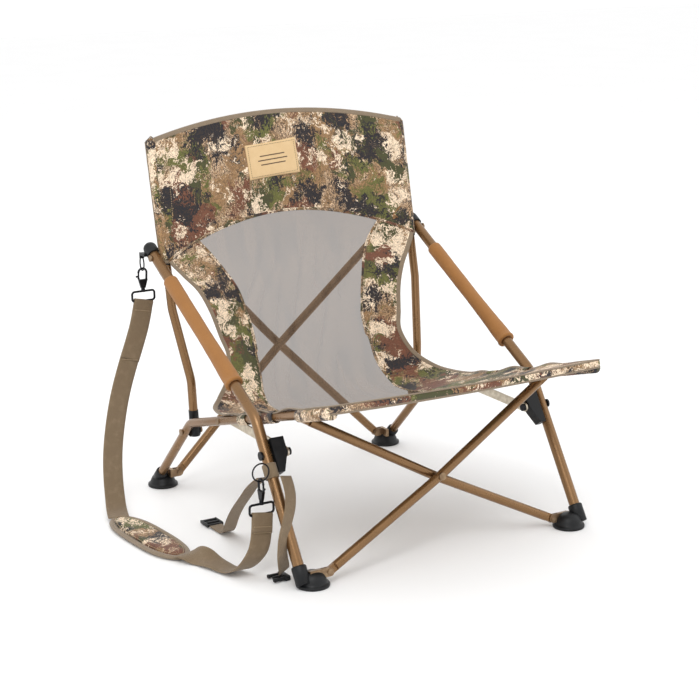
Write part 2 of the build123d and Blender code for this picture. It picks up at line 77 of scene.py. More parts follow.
def add_camera():
    """Camera on the left in front of the chair, a little above it."""
    azimuth, elevation, roll = (math.radians(angle) for angle in (AZIMUTH, ELEVATION, ROLL))
    level = math.cos(elevation)
    back = Vector((math.sin(azimuth) * level, -math.cos(azimuth) * level, math.sin(elevation)))
    sideways = Vector((math.cos(azimuth), math.sin(azimuth), 0))
    upright = back.cross(sideways)
    right = around(sideways, upright, roll)
    up = upright * math.cos(roll) - sideways * math.sin(roll)
    data = bpy.data.cameras.new("camera")
    data.lens = LENS
    data.sensor_width = 36.0
    data.clip_end = 60.0
    camera = add_object("camera", data)
    turn = Matrix((right, up, back)).transposed().to_4x4()
    camera.matrix_world = Matrix.Translation(CAMERA_PLACE) @ turn
    bpy.context.scene.camera = camera


# ---- materials ----
class Paint:
    """A material with short ways to add and join its nodes."""

    def __init__(self, name, **values):
        self.material = bpy.data.materials.new(name)
        self.material.use_nodes = True
        self.tree = self.material.node_tree
        self.shader = self.tree.nodes["Principled BSDF"]
        for key, value in values.items():
            self.shader.inputs[key.replace("_", " ")].default_value = value

    def add(self, kind, inputs=None, **settings):
        node = self.tree.nodes.new("ShaderNode" + kind)
        for key, value in settings.items():
            setattr(node, key, value)
        for key, value in (inputs or {}).items():
            self.put(node.inputs[key], value)
        return node

    def put(self, socket, value):
        if isinstance(value, bpy.types.NodeSocket):
            self.tree.links.new(value, socket)
        else:
            socket.default_value = value

    def place(self):
        """The point in the row frame, in metres."""
        return self.add("TexCoord").outputs["Object"]

    def flat(self):
        """The point on the cloth as it was cut, in metres."""
        return self.add("Attribute", attribute_name="flat").outputs["Vector"]

    def noise(self, at, scale, detail=3.0, rough=0.5):
        inputs = {"Vector": at, "Scale": scale, "Detail": detail, "Roughness": rough}
        return self.add("TexNoise", inputs).outputs["Fac"]

    def cells(self, at, scale, feature="F1"):
        inputs = {"Vector": at, "Scale": scale}
        return self.add("TexVoronoi", inputs, feature=feature).outputs["Distance"]

    def moved(self, at, offset, stretch=(1.0, 1.0, 1.0)):
        inputs = {"Vector": at, "Location": offset, "Scale": stretch}
        return self.add("Mapping", inputs).outputs["Vector"]

    def math(self, operation, a, b=0.0):
        return self.add("Math", {0: a, 1: b}, operation=operation).outputs[0]

    def step(self, value, low, high, start=0.0, end=1.0):
        """start below low, end above high, and a straight ramp between them."""
        inputs = {"Value": value, "From Min": low, "From Max": high, "To Min": start, "To Max": end}
        return self.add("MapRange", inputs).outputs["Result"]

    def mix(self, factor, a, b):
        node = self.add("Mix", data_type="RGBA")
        for socket, value in ((node.inputs[0], factor), (node.inputs[6], a), (node.inputs[7], b)):
            self.put(socket, value)
        return node.outputs[2]

    def bump(self, height, distance, strength):
        inputs = {"Height": height, "Distance": distance, "Strength": strength}
        self.put(self.shader.inputs["Normal"], self.add("Bump", inputs).outputs["Normal"])

    def colour(self, value):
        self.put(self.shader.inputs["Base Color"], value)

    def rough(self, value):
        self.put(self.shader.inputs["Roughness"], value)


def rgb(red, green, blue):
    """A screen colour, 0 to 255, as a linear one."""
    return tuple(((c / 255 + 0.055) / 1.055) ** 2.4 for c in (red, green, blue)) + (1.0,)


def threads(paint, at, pitch):
    """Height of a plain weave, 0 to 1: over and under threads of that pitch."""
    parts = paint.add("SeparateXYZ", {"Vector": at}).outputs
    turns = 2 * math.pi / pitch
    across = paint.math("SINE", paint.math("MULTIPLY", parts["X"], turns))
    along = paint.math("SINE", paint.math("MULTIPLY", parts["Y"], turns))
    return paint.step(paint.math("MULTIPLY", across, along), -1.0, 1.0)


def tube_paint():
    paint = Paint("bronze_tube", Metallic=0.75, Coat_Weight=0.3, Coat_Roughness=0.2)
    at = paint.place()
    cloud = paint.noise(at, 18.0, 4.0)
    fleck = paint.noise(at, 2400.0, 1.0)
    scuff = paint.step(paint.noise(paint.moved(at, (3, 1, 2), (1, 1, 0.35)), 160.0, 5.0), 0.66, 0.74)
    base = paint.mix(cloud, rgb(116, 84, 50), rgb(136, 101, 64))
    base = paint.mix(paint.step(fleck, 0.45, 0.75, 0.0, 0.35), base, rgb(182, 146, 104))
    paint.colour(paint.mix(paint.math("MULTIPLY", scuff, 0.35), base, rgb(104, 74, 48)))
    paint.rough(paint.step(cloud, 0.3, 0.7, 0.22, 0.32))
    paint.bump(fleck, 0.00012, 0.5)
    return paint.material


def grip_paint():
    paint = Paint("grip_foam", Sheen_Weight=0.1, Sheen_Roughness=0.6)
    at = paint.place()
    pores = paint.noise(at, 1500.0, 3.0, 0.6)
    cloud = paint.noise(at, 35.0, 4.0)
    base = paint.mix(cloud, rgb(148, 98, 43), rgb(164, 112, 53))
    paint.colour(paint.mix(paint.step(pores, 0.35, 0.5, 0.55, 0.0), base, rgb(120, 72, 32)))
    paint.rough(paint.step(pores, 0.3, 0.7, 0.72, 0.88))
    paint.bump(pores, 0.0004, 0.6)
    return paint.material


def plastic_paint(name, colour, worn, roughness):
    paint = Paint(name, Specular_IOR_Level=0.32)
    at = paint.place()
    grain = paint.noise(at, 1900.0, 2.0)
    cloud = paint.noise(at, 60.0, 4.0)
    paint.colour(paint.mix(paint.step(cloud, 0.35, 0.75, 0.0, 0.7), colour, worn))
    paint.rough(paint.step(cloud, 0.3, 0.7, roughness - 0.06, roughness + 0.1))
    paint.bump(grain, 0.0002, 0.5)
    return paint.material


def metal_paint(name, colour, worn, roughness):
    paint = Paint(name, Metallic=0.9)
    at = paint.place()
    cloud = paint.noise(at, 120.0, 4.0)
    lines = paint.noise(paint.moved(at, (0, 0, 0), (1, 1, 0.08)), 1600.0, 2.0)
    paint.colour(paint.mix(paint.step(cloud, 0.4, 0.7), colour, worn))
    paint.rough(paint.step(lines, 0.3, 0.7, roughness - 0.08, roughness + 0.1))
    paint.bump(lines, 0.00006, 0.4)
    return paint.material


def webbing_paint(name, light, dark):
    """Flat woven webbing: ribs across the width in rows along the length, lighter on the raised ribs and
    darker in the grooves as painted shade.
    """
    paint = Paint(name, Sheen_Weight=0.2, Sheen_Roughness=0.5)
    at = paint.flat()
    parts = paint.add("SeparateXYZ", {"Vector": at}).outputs
    rib = paint.math("SINE", paint.math("MULTIPLY", parts["X"], 2 * math.pi / 0.0021))
    skew = paint.math("ADD", parts["Y"], paint.math("MULTIPLY", parts["X"], 0.45))
    row = paint.math("SINE", paint.math("MULTIPLY", skew, 2 * math.pi / 0.0016))
    height = paint.step(paint.math("MULTIPLY", rib, row), -1.0, 1.0)
    wear = paint.noise(at, 70.0, 5.0)
    # painted shade: the weave's low grooves take the dark tone and its raised ribs the light one
    tone = paint.mix(paint.step(height, 0.1, 0.9), dark, light)
    paint.colour(paint.mix(paint.step(wear, 0.5, 0.75, 0.0, 0.3), tone, rgb(160, 140, 114)))
    paint.rough(paint.step(height, 0.0, 1.0, 0.9, 0.7))
    paint.bump(height, 0.0004, 0.7)
    return paint.material


def mesh_paint():
    """Fine open mesh, seen as a veil; its threads show as a weave, and darker bands stretched along it
    are painted shade for its creases.
    """
    paint = Paint("mesh_cloth", Roughness=0.75, Alpha=0.73)
    at = paint.flat()
    weave = threads(paint, at, 0.0022)
    cloud = paint.noise(at, 12.0, 3.0)
    tone = paint.mix(cloud, rgb(97, 77, 58), rgb(113, 92, 72))
    # painted shade: darker bands stretched along the cloth stand in for the shade in its creases
    folds = paint.noise(paint.moved(at, (0.4, 0.9, 0), (1.0, 0.22, 1.0)), 34.0, 2.0)
    tone = paint.mix(paint.step(folds, 0.48, 0.66, 0.0, 0.8), tone, rgb(82, 66, 52))
    paint.colour(paint.mix(paint.step(weave, 0.0, 1.0, 0.35, 0.0), tone, rgb(84, 73, 64)))
    paint.bump(weave, 0.0003, 0.6)
    return paint.material


def camo_paint(name="camo_cloth", shift=(0.0, 0.0, 0.0)):
    """Broken natural camouflage: pale grained ground with moss, rust, tan and ink patches."""
    paint = Paint(name, Sheen_Weight=0.12, Sheen_Roughness=0.5)
    at = paint.moved(paint.flat(), shift)
    warp = paint.add("TexNoise", {"Vector": at, "Scale": 42.0, "Detail": 4.0}).outputs["Color"]
    shaken = paint.add("VectorMath", {0: warp, 1: (0.5, 0.5, 0.5)}, operation="SUBTRACT").outputs[0]
    shaken = paint.add("VectorMath", {0: shaken, "Scale": 0.05}, operation="SCALE").outputs[0]
    torn = paint.add("VectorMath", {0: at, 1: shaken}, operation="ADD").outputs[0]
    chips = paint.cells(paint.moved(torn, (1.3, 0.2, 0), (1.0, 0.6, 1.0)), 230.0)
    cracks = paint.cells(paint.moved(torn, (0.1, 0.7, 0), (1.0, 0.5, 1.0)), 210.0, "DISTANCE_TO_EDGE")
    fine = paint.noise(torn, 420.0, 2.0, 0.6)
    grain = paint.add("TexWave", {"Vector": torn, "Scale": 120.0, "Distortion": 14.0, "Detail": 3.0,
                                  "Detail Scale": 1.6}, bands_direction="DIAGONAL").outputs["Fac"]

    def patch(offset, scale, stretch, low, high, ragged):
        """A ragged island mask; chips and fine noise eat into its rim."""
        field = paint.noise(paint.moved(torn, offset, stretch), scale, 2.0, 0.5)
        rim = paint.math("MULTIPLY", paint.math("SUBTRACT", chips, 0.45), ragged)
        rim = paint.math("ADD", rim, paint.math("MULTIPLY", paint.math("SUBTRACT", fine, 0.5), ragged))
        return paint.step(paint.math("ADD", field, rim), low, high)

    ground = paint.mix(paint.step(paint.noise(torn, 30.0, 4.0), 0.35, 0.65),
                       rgb(250, 218, 182), rgb(188, 150, 108))
    ground = paint.mix(paint.step(cracks, 0.03, 0.12, 0.9, 0.0), ground, rgb(108, 82, 56))
    ground = paint.mix(paint.step(grain, 0.68, 0.76, 0.0, 0.8), ground, rgb(92, 68, 48))
    layers = (
        ((2.1, 0.4, 0.3), 15.0, (1.0, 1.2, 1.0), 0.53, 0.545, 0.24, (162, 126, 86)),
        ((0.3, 1.9, 0.8), 12.0, (1.0, 1.0, 1.0), 0.545, 0.555, 0.15, (106, 108, 50)),
        ((4.4, 2.7, 0.5), 17.0, (1.2, 1.0, 1.0), 0.58, 0.59, 0.16, (70, 74, 38)),
        ((1.7, 5.2, 0.1), 13.0, (1.0, 0.8, 1.0), 0.565, 0.575, 0.13, (122, 74, 52)),
        ((7.9, 3.3, 0.9), 17.0, (0.9, 1.1, 1.0), 0.565, 0.572, 0.26, (22, 23, 33)),
        ((5.5, 8.1, 0.6), 26.0, (1.0, 1.0, 1.0), 0.62, 0.63, 0.28, (254, 230, 200)),
    )
    for offset, scale, stretch, low, high, ragged, tone in layers:
        ground = paint.mix(patch(offset, scale, stretch, low, high, ragged), ground, rgb(*tone))
    ground = paint.mix(paint.step(cracks, 0.015, 0.08, 0.7, 0.0), ground, rgb(70, 52, 36))
    shade = paint.step(fine, 0.36, 0.58, 0.32, 0.0)
    paint.colour(paint.mix(shade, ground, rgb(54, 43, 32)))
    weave = threads(paint, at, 0.0016)
    paint.rough(paint.step(weave, 0.0, 1.0, 0.85, 0.72))
    paint.bump(weave, 0.00025, 0.6)
    return paint.material


def label_paint():
    """Plain tan patch with a faint grain."""
    paint = Paint("label_cloth", Sheen_Weight=0.1)
    at = paint.flat()
    cloud = paint.noise(at, 60.0, 5.0, 0.6)
    grain = paint.noise(at, 1300.0, 2.0)
    base = paint.mix(cloud, rgb(214, 181, 132), rgb(232, 203, 158))
    paint.colour(paint.mix(paint.step(grain, 0.4, 0.7, 0.25, 0.0), base, rgb(176, 140, 96)))
    paint.rough(paint.step(grain, 0.3, 0.7, 0.65, 0.85))
    paint.bump(grain, 0.0002, 0.5)
    return paint.material


def thread_paint(name, colour):
    paint = Paint(name, Sheen_Weight=0.2)
    twist = paint.noise(paint.place(), 2600.0, 1.0)
    paint.colour(paint.mix(twist, colour, tuple(0.6 * c for c in colour[:3]) + (1.0,)))
    paint.rough(paint.step(twist, 0.3, 0.7, 0.6, 0.8))
    paint.bump(twist, 0.0002, 0.5)
    return paint.material


PAINTS = {
    "tube": tube_paint(),
    "grip": grip_paint(),
    "plastic": plastic_paint("black_plastic", rgb(14, 15, 17), rgb(30, 31, 33), 0.42),
    "hardware": metal_paint("black_hardware", rgb(30, 31, 34), rgb(52, 52, 55), 0.38),
    "steel": metal_paint("steel_fittings", rgb(132, 108, 84), rgb(160, 136, 108), 0.4),
    "link": metal_paint("pale_link", rgb(196, 184, 164), rgb(222, 212, 194), 0.36),
    "webbing": webbing_paint("webbing", rgb(146, 124, 95), rgb(92, 76, 56)),
    "binding": webbing_paint("binding", rgb(154, 136, 113), rgb(108, 92, 74)),
    "mesh": mesh_paint(),
    "camo": camo_paint(),
    "camo_pad": camo_paint("camo_pad", (0.37, 0.21, 0.0)),
    "label": label_paint(),
    "tan_thread": thread_paint("tan_thread", rgb(198, 172, 132)),
    "dark_thread": thread_paint("dark_thread", rgb(92, 70, 50)),
}
NODE_PAINTS = (
    (("arm_leg_tube", "back_post", "seat_rail", "front_cross_tube", "rear_cross_tube"), "tube"),
    (("leg_bracket", "arm_cap", "post_collar", "post_bracket", "post_slider"), "plastic"),
    (("upper_snap_hook", "lower_snap_hook", "upper_hook_gate", "lower_hook_gate", "leg_bolt",
      "upper_strap_loop", "lower_strap_loop", "cap_ring", "leg_ring"), "hardware"),
    (("seat_link",), "link"),
)


def paint_node(node, key):
    node.data.materials.clear()
    node.data.materials.append(PAINTS[key])


def paint_frame():
    """Gives each CAD node its material; fittings that no row names are steel."""
    for name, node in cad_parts.items():
        for starts, key in NODE_PAINTS:
            if name.startswith(starts):
                paint_node(node, key)
                break
        else:
            paint_node(node, "steel")


# ---- mesh helpers ----
def piece(name, verts, faces, paint, flats=None):
    """A mesh piece; flats gives each point's place on the cloth as it was cut."""
    mesh = bpy.data.meshes.new(name)
    mesh.from_pydata([tuple(v) for v in verts], [], faces)
    mesh.validate()
    for polygon in mesh.polygons:
        polygon.use_smooth = True
    if flats:
        layer = mesh.attributes.new("flat", "FLOAT_VECTOR", "POINT")
        layer.data.foreach_set("vector", [c for f in flats for c in f])
    mesh.materials.append(PAINTS[paint])
    obj = add_object(name, mesh)
    return obj


def apply_modifiers(obj):
    """Puts the result of an object's modifiers into its mesh."""
    graph = bpy.context.evaluated_depsgraph_get()
    graph.update()
    mesh = bpy.data.meshes.new_from_object(obj.evaluated_get(graph))
    obj.modifiers.clear()
    obj.data = mesh


def join(name, parts):
    """Several pieces as one."""
    with bpy.context.temp_override(
        active_object=parts[0], object=parts[0], selected_objects=parts,
        selected_editable_objects=parts,
    ):
        bpy.ops.object.join()
    parts[0].name = name
    return parts[0]


def grid(name, rows, columns, point, paint, flat=None):
    """A sheet of rows by columns cells; point and flat take fractions down and across."""
    verts, flats, faces = [], [], []
    for i in range(rows + 1):
        for j in range(columns + 1):
            t, c = i / rows, j / columns
            verts.append(point(t, c))
            flats.append(flat(t, c) if flat else (0.0, 0.0, 0.0))
    wide = columns + 1
    for i in range(rows):
        for j in range(columns):
            a = i * wide + j
            faces.append((a, a + 1, a + wide + 1, a + wide))
    return piece(name, verts, faces, paint, flats)


def thicken(obj, thickness):
    modifier = obj.modifiers.new("thick", "SOLIDIFY")
    modifier.thickness = thickness
    modifier.offset = 0.0
    apply_modifiers(obj)


def tube_faces(rings, sides, start=0):
    """Faces of a tube of points, ring after ring, with both ends shut."""
    faces = []
    for i in range(rings - 1):
        near, far = start + i * sides, start + (i + 1) * sides
        for k in range(sides):
            n = (k + 1) % sides
            faces.append((near + k, near + n, far + n, far + k))
    faces.append(tuple(start + k for k in reversed(range(sides))))
    faces.append(tuple(range(start + (rings - 1) * sides, start + rings * sides)))
    return faces


def lathe(name, start, end, profile, paint, sides=40):
    """Turned solid: profile is (distance from start along the axis, radius) pairs."""
    start = Vector(start)
    axis = (Vector(end) - start).normalized()
    side = axis.orthogonal().normalized()
    other = axis.cross(side)
    verts = [start + axis * distance + around(side, other, 2 * math.pi * k / sides) * radius
             for distance, radius in profile for k in range(sides)]
    pattern_radius = 0.01
    flats = [(math.atan2((v - start).dot(other), (v - start).dot(side)) * pattern_radius,
              (v - start).dot(axis), 0.0) for v in verts]
    return piece(name, verts, tube_faces(len(profile), sides), paint, flats)


def rounded_box(name, size, centre, paint, radius):
    """A box with rounded edges."""
    mesh = bmesh.new()
    bmesh.ops.create_cube(mesh, size=1.0)
    bmesh.ops.scale(mesh, vec=size, verts=mesh.verts)
    bmesh.ops.bevel(mesh, geom=mesh.edges[:], offset=radius, segments=3, profile=0.5,
                    affect="EDGES")
    bmesh.ops.translate(mesh, vec=centre, verts=mesh.verts)
    verts = [v.co.copy() for v in mesh.verts]
    mesh.verts.index_update()
    faces = [tuple(v.index for v in f.verts) for f in mesh.faces]
    mesh.free()
    return piece(name, verts, faces, paint, [tuple(v) for v in verts])


def smooth_step(x, low, high):
    """0 below low, 1 above high, with a soft ramp between them."""
    t = min(1.0, max(0.0, (x - low) / (high - low)))
    return t * t * (3 - 2 * t)


def lerp(a, b, t):
    return a + (b - a) * t


def through(points, steps=12):
    """Smooth line through the points, as many steps to each run."""
    ends = [points[0] * 2 - points[1]] + points + [points[-1] * 2 - points[-2]]
    line = []
    for i in range(1, len(ends) - 2):
        a, b, c, d = ends[i - 1:i + 3]
        for k in range(steps):
            t = k / steps
            line.append(0.5 * (2 * b + (c - a) * t + (2 * a - 5 * b + 4 * c - d) * t * t
                               + (3 * b - a - 3 * c + d) * t ** 3))
    return line + [points[-1]]


# ---- flat bands along a line ----
def tangent_at(line, i):
    return (line[min(i + 1, len(line) - 1)] - line[max(i - 1, 0)]).normalized()


def band(name, line, width, thickness, paint, across=X_AXIS, normals=None):
    """Webbing with rounded edges along a line; its width lies along `across`, one direction or
    one for each point, or square to the normals."""
    rim = thickness * 0.5
    row = [(k / 6 - 0.5) * (width - thickness) for k in range(7)]
    section = ([(x, -rim) for x in row] + [(width * 0.5, 0.0)]
               + [(x, rim) for x in reversed(row)] + [(-width * 0.5, 0.0)])
    verts, flats = [], []
    walked = 0.0
    for i, point in enumerate(line):
        tangent = tangent_at(line, i)
        if i:
            walked += (point - line[i - 1]).length
        if normals:
            up = normals[i].normalized()
            wide = tangent.cross(up).normalized()
        else:
            hint = across[i] if isinstance(across, list) else across
            wide = (hint - tangent * hint.dot(tangent)).normalized()
            up = wide.cross(tangent).normalized()
        verts += [point + wide * x + up * z for x, z in section]
        flats += [(x, walked, 0.0) for x, _ in section]
    return piece(name, verts, tube_faces(len(line), len(section)), paint, flats)


def spline_line(points):
    """The smooth line of a free strap: a NURBS spline with the route as control points."""
    curve = bpy.data.curves.new("route", "CURVE")
    curve.dimensions = "3D"
    curve.resolution_u = 12
    spline = curve.splines.new("NURBS")
    spline.points.add(len(points) - 1)
    for target, point in zip(spline.points, points):
        target.co = (*point, 1.0)
    spline.order_u = 3
    spline.use_endpoint_u = True
    holder = add_object("route", curve)
    mesh = bpy.data.meshes.new_from_object(holder)
    line = [v.co.copy() for v in mesh.vertices]
    bpy.data.objects.remove(holder)
    return line


def line_length(line):
    return sum((b - a).length for a, b in zip(line, line[1:]))


def stitch_row(name, line, pitch, paint, size=0.0005, normals=None, lift=0.0):
    """A row of separate stitches along a line, each a short six-sided bead."""
    half = pitch * 0.34
    bead = ((-half, 0.35), (-half * 0.6, 1.0), (half * 0.6, 1.0), (half, 0.35))
    verts, faces = [], []
    walked, due = 0.0, pitch * 0.5
    for i, (a, b) in enumerate(zip(line, line[1:])):
        run = (b - a).length
        along = (b - a).normalized()
        side = along.cross(normals[i].normalized() if normals else Z_AXIS).normalized()
        up = side.cross(along)
        while walked + run > due and run > 1e-9:
            at = a.lerp(b, (due - walked) / run) + up * lift
            faces += tube_faces(len(bead), 6, len(verts))
            verts += [at + along * end + around(side, up, math.pi * k / 3) * (size * fat)
                      for end, fat in bead for k in range(6)]
            due += pitch
        walked += run
    return piece(name, verts, faces, paint)


# ---- the slung cloth ----
# Centre lines of the arm and rail tubes: distance from the middle, then points (y, z).
ARM_X, ARM_FOOT, ARM_BEND = 0.280, (-0.2829, 0.010), (-0.131, 0.249)
ARM_RISE = Vector((0, 396, 220)).normalized()    # the straight arm, above its bend
RAIL_X, RAIL_FOOT, RAIL_BEND = 0.258, (0.3266, 0.010), (0.169, 0.1623)
RAIL_RISE = 0.28347                 # the rail's rise for each unit forward of its bend
POST_BEND = (0.224, 0.364)
POST_LEAN = Vector((0, 63, 301)).normalized()    # the posts' run above that bend
POST_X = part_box("back_post_right")[1].x - 0.008  # less the tube's radius

# One cloth runs from the seat's front edge to the top of the back. Its right-hand edge, in
# millimetres, from the front corner along the rail, in at the waist and up the post.
EDGE = [
    (263, -347, 319), (263, -200, 277), (263, -50, 235), (262, 28, 213), (250, 88, 208),
    (228, 114, 218), (201, 136, 242), (186, 157, 280), (193, 171, 314), (203, 187, 358),
    (219, 200, 396), (243, 216, 426), (262, 231, 455), (265, 242, 503), (262, 256, 570),
    (262, 277, 667),
]
SEAT_S = 0.335                      # the seat's camouflage ends here and the mesh begins
FOLD_S = 0.487                      # nearest the rear pivot: seat and back part here when folded
TOP_ARCH = 0.036                    # how far the top edge rises at its middle
YOKE_LOW, YOKE_RISE, YOKE_TIP = 0.482, 0.036, 0.194   # seam under the camouflage yoke
edge_line = through([Vector(p) * MM for p in EDGE])
edge_s = [0.0]
for first, second in zip(edge_line, edge_line[1:]):
    edge_s.append(edge_s[-1] + (second - first).length)
EDGE_LENGTH = edge_s[-1]
BEHIND_PIVOT, WAIST_Z = 0.1, 0.28   # the waist is the edge point at this height in the back
WAIST_S = edge_s[min((i for i, point in enumerate(edge_line) if point.y >= BEHIND_PIVOT),
                     key=lambda i: abs(edge_line[i].z - WAIST_Z))]


def edge_at(s):
    """Point of the right-hand edge at a distance s from the front corner."""
    s = min(max(s, 0.0), EDGE_LENGTH)
    i = min(max(bisect.bisect_right(edge_s, s) - 1, 0), len(edge_line) - 2)
    span = edge_s[i + 1] - edge_s[i]
    return edge_line[i].lerp(edge_line[i + 1], (s - edge_s[i]) / span)


def side_normal(s):
    """Direction in the side view away from the sitter, smoothed along the cloth."""
    a, b = edge_at(s - 0.06), edge_at(s + 0.06)
    run = Vector((0, b.y - a.y, b.z - a.z)).normalized()
    return Vector((0, run.z, -run.y))


def s_at_height(z):
    """Distance along the edge where the back reaches height z."""
    low, high = WAIST_S, EDGE_LENGTH
    for _ in range(30):
        middle = 0.5 * (low + high)
        low, high = (middle, high) if edge_at(middle).z < z else (low, middle)
    return low


def sag(s):
    """How far the middle of the cloth hangs behind its edges."""
    seat = smooth_step(s, 0.0, 0.16)
    top = 1.0 - 0.72 * smooth_step(s, EDGE_LENGTH - 0.24, EDGE_LENGTH)
    return 0.004 + 0.020 * seat * top


def ripple(x, s):
    """Shallow folds that run along the cloth, deeper in the mesh and towards the waist."""
    near_waist = math.exp(-((s - WAIST_S) / 0.13) ** 2)
    in_mesh = smooth_step(s, SEAT_S, WAIST_S) * smooth_step(0.16 - abs(x), 0.0, 0.05)
    in_mesh *= smooth_step(EDGE_LENGTH - 0.12 - s, 0.0, 0.10)
    broad = noise.noise(Vector((x * 17, s * 3.2, 4.1)))
    narrow = noise.noise(Vector((x * 42 + s * 9, s * 6.0, 1.7)))
    gather = noise.noise(Vector((x * 30 - s * 10, s * 4.0, 8.3)))
    creases = (1 - abs(gather)) ** 8 - 0.3
    return (0.0020 * broad + (0.0008 + 0.0026 * near_waist) * narrow
            + 0.0078 * in_mesh * creases)


def edge_wave(u, s):
    """The seat's side edges lift a little between the loops that hold them to the rails."""
    reach = smooth_step(s, 0.05, 0.16) * smooth_step(0.40 - s, 0.0, 0.06)
    return 0.0032 * math.sin(2 * math.pi * s / 0.118 + 0.6) * reach * smooth_step(abs(u), 0.72, 1.0)


def sling(u, s):
    """Point of the cloth at u across, -1 to 1, and s along."""
    edge = edge_at(s)
    x = u * edge.x
    calm = (1 - u ** 8) * smooth_step(s, 0.0, 0.03) * smooth_step(EDGE_LENGTH - s, 0.0, 0.03)
    depth = sag(s) * (1 - u * u) + ripple(x, s) * calm
    rise = TOP_ARCH * (1 - u * u) * smooth_step(s, EDGE_LENGTH - 0.17, EDGE_LENGTH)
    point = Vector((x, edge.y, edge.z)) + side_normal(s) * depth
    return point + POST_LEAN * rise + Vector((0, 0, edge_wave(u, s)))


def on_cloth(places):
    """Points and normals of the cloth at (u, s) places."""
    return [sling(*place) for place in places], [sling_normal(*place) for place in places]


def sling_normal(u, s):
    """Towards the sitter."""
    du, ds = 0.01, 0.004
    across = sling(min(u + du, 1), s) - sling(max(u - du, -1), s)
    along = sling(u, min(s + ds, EDGE_LENGTH)) - sling(u, max(s - ds, 0))
    return across.cross(along).normalized()


def yoke_s(u):
    """Where the seam under the yoke lies at u across."""
    x = abs(u) * 0.264
    return s_at_height(YOKE_LOW + YOKE_RISE * (1 - (x / YOKE_TIP) ** 2))


def panel_half(s):
    """Half width of the mesh panel at s along: narrow at the waist, wide at the yoke."""
    if s < WAIST_S:
        return 0.122 + 0.012 * smooth_step(WAIST_S - s, 0.03, 0.12)
    return 0.119 + 0.075 * max(0.0, (edge_at(s).z - 0.27) / 0.212) ** 3


YOKE_STEPS = 60
yoke_table = [yoke_s(k / YOKE_STEPS) for k in range(YOKE_STEPS + 1)]


def yoke_at(u):
    """The seam under the yoke, read from its table."""
    k = min(abs(u), 0.9999) * YOKE_STEPS
    i = int(k)
    return lerp(yoke_table[i], yoke_table[i + 1], k - i)


def flat_of(u, s):
    """Where that point lies on the cloth before it is slung."""
    return (u * edge_at(s).x, s, 0.0)


def yoke_us(t, c):
    """The yoke: t from its seam up to the top edge."""
    u = 2 * c - 1
    return u, lerp(yoke_at(u), EDGE_LENGTH, t)


def settle(t, c, low, high, u, reach):
    """Finds u and s together: the yoke's seam and the panel's edge both curve."""
    for _ in range(14):
        s = lerp(low, high or yoke_at(u), t)
        inner = min(panel_half(s) / edge_at(s).x, 0.985)
        u = lerp(*reach(inner), c)
    return u, s


def side_us(t, c, side, low=FOLD_S, high=None):
    """Side strip: c from the mesh panel out to the edge, s from low to high or to the yoke."""
    u, s = settle(t, c, low, high, 0.8, lambda inner: (inner, 1.0))
    return side * u, s


def panel_us(t, c, low=FOLD_S, high=None):
    """Mesh panel: c from its left edge to its right."""
    return settle(t, c, low, high, 0.0, lambda inner: (-inner, inner))


def seat_us(t, c):
    """The seat's camouflage: t from the front edge back."""
    return 2 * c - 1, lerp(0.0, SEAT_S, t)


BINDING_THICK = 0.0026
HEM_DROP = 0.0115                   # the front hem's lower edge below its upper
SLEEVE_LOW, SLEEVE_HIGH = 0.450, 0.669
BACK_ANCHOR = (-0.261, 0.25, 0.5)
SEAT_ANCHOR = (-0.258, 0.0, 0.25)
soft_back, soft_seat = [], []


def cloth(name, rows, columns, place, paint, thickness, group):
    """One cut panel of the sling."""
    obj = grid(name, rows, columns, lambda t, c: sling(*place(t, c)), paint,
               lambda t, c: flat_of(*place(t, c)))
    if thickness:
        thicken(obj, thickness)
    group.append(obj)
    return obj


def make_sling():
    """The cut panels, with each one's flat size and area listed beside it in a list that nothing reads.
    """
    thin = 0.0009
    yoke = cloth("back_yoke", 44, 96, yoke_us, "camo", thin, soft_back)
    cut = [(yoke, (0.53, 0.25), 0.53 * 0.19)]
    for side, name in SIDES:
        back = cloth("back_side_" + name, 70, 20, lambda t, c, side=side: side_us(t, c, side),
                     "camo", thin, soft_back)
        seat = cloth("seat_side_" + name, 36, 20,
                     lambda t, c, side=side: side_us(t, c, side, SEAT_S, FOLD_S),
                     "camo", thin, soft_seat)
        cut += [(back, (0.15, 0.25), 0.024), (seat, (0.141, 0.152), 0.0195)]
    upper = cloth("back_mesh_panel", 66, 60, panel_us, "mesh", 0, soft_back)
    lower = cloth("seat_mesh_panel", 36, 60, lambda t, c: panel_us(t, c, SEAT_S, FOLD_S), "mesh",
                  0, soft_seat)
    seat = cloth("seat_cloth", 70, 96, seat_us, "camo", thin, soft_seat)
    cut += [(upper, (0.39, 0.26), 0.100), (lower, (0.27, 0.152), 0.039), (seat, (0.53, 0.34), None)]
    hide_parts("back_sling")
    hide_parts("seat_sling")


def edge_trim(name, places, group, width=0.009, inset=0.0):
    """Folded binding over a free edge; places are (u, s) along it."""
    line, normals = on_cloth(places)
    line = [point + tangent_at(line, i).cross(normals[i]) * inset for i, point in enumerate(line)]
    group.append(band(name, line, width, BINDING_THICK, "binding", normals=normals))


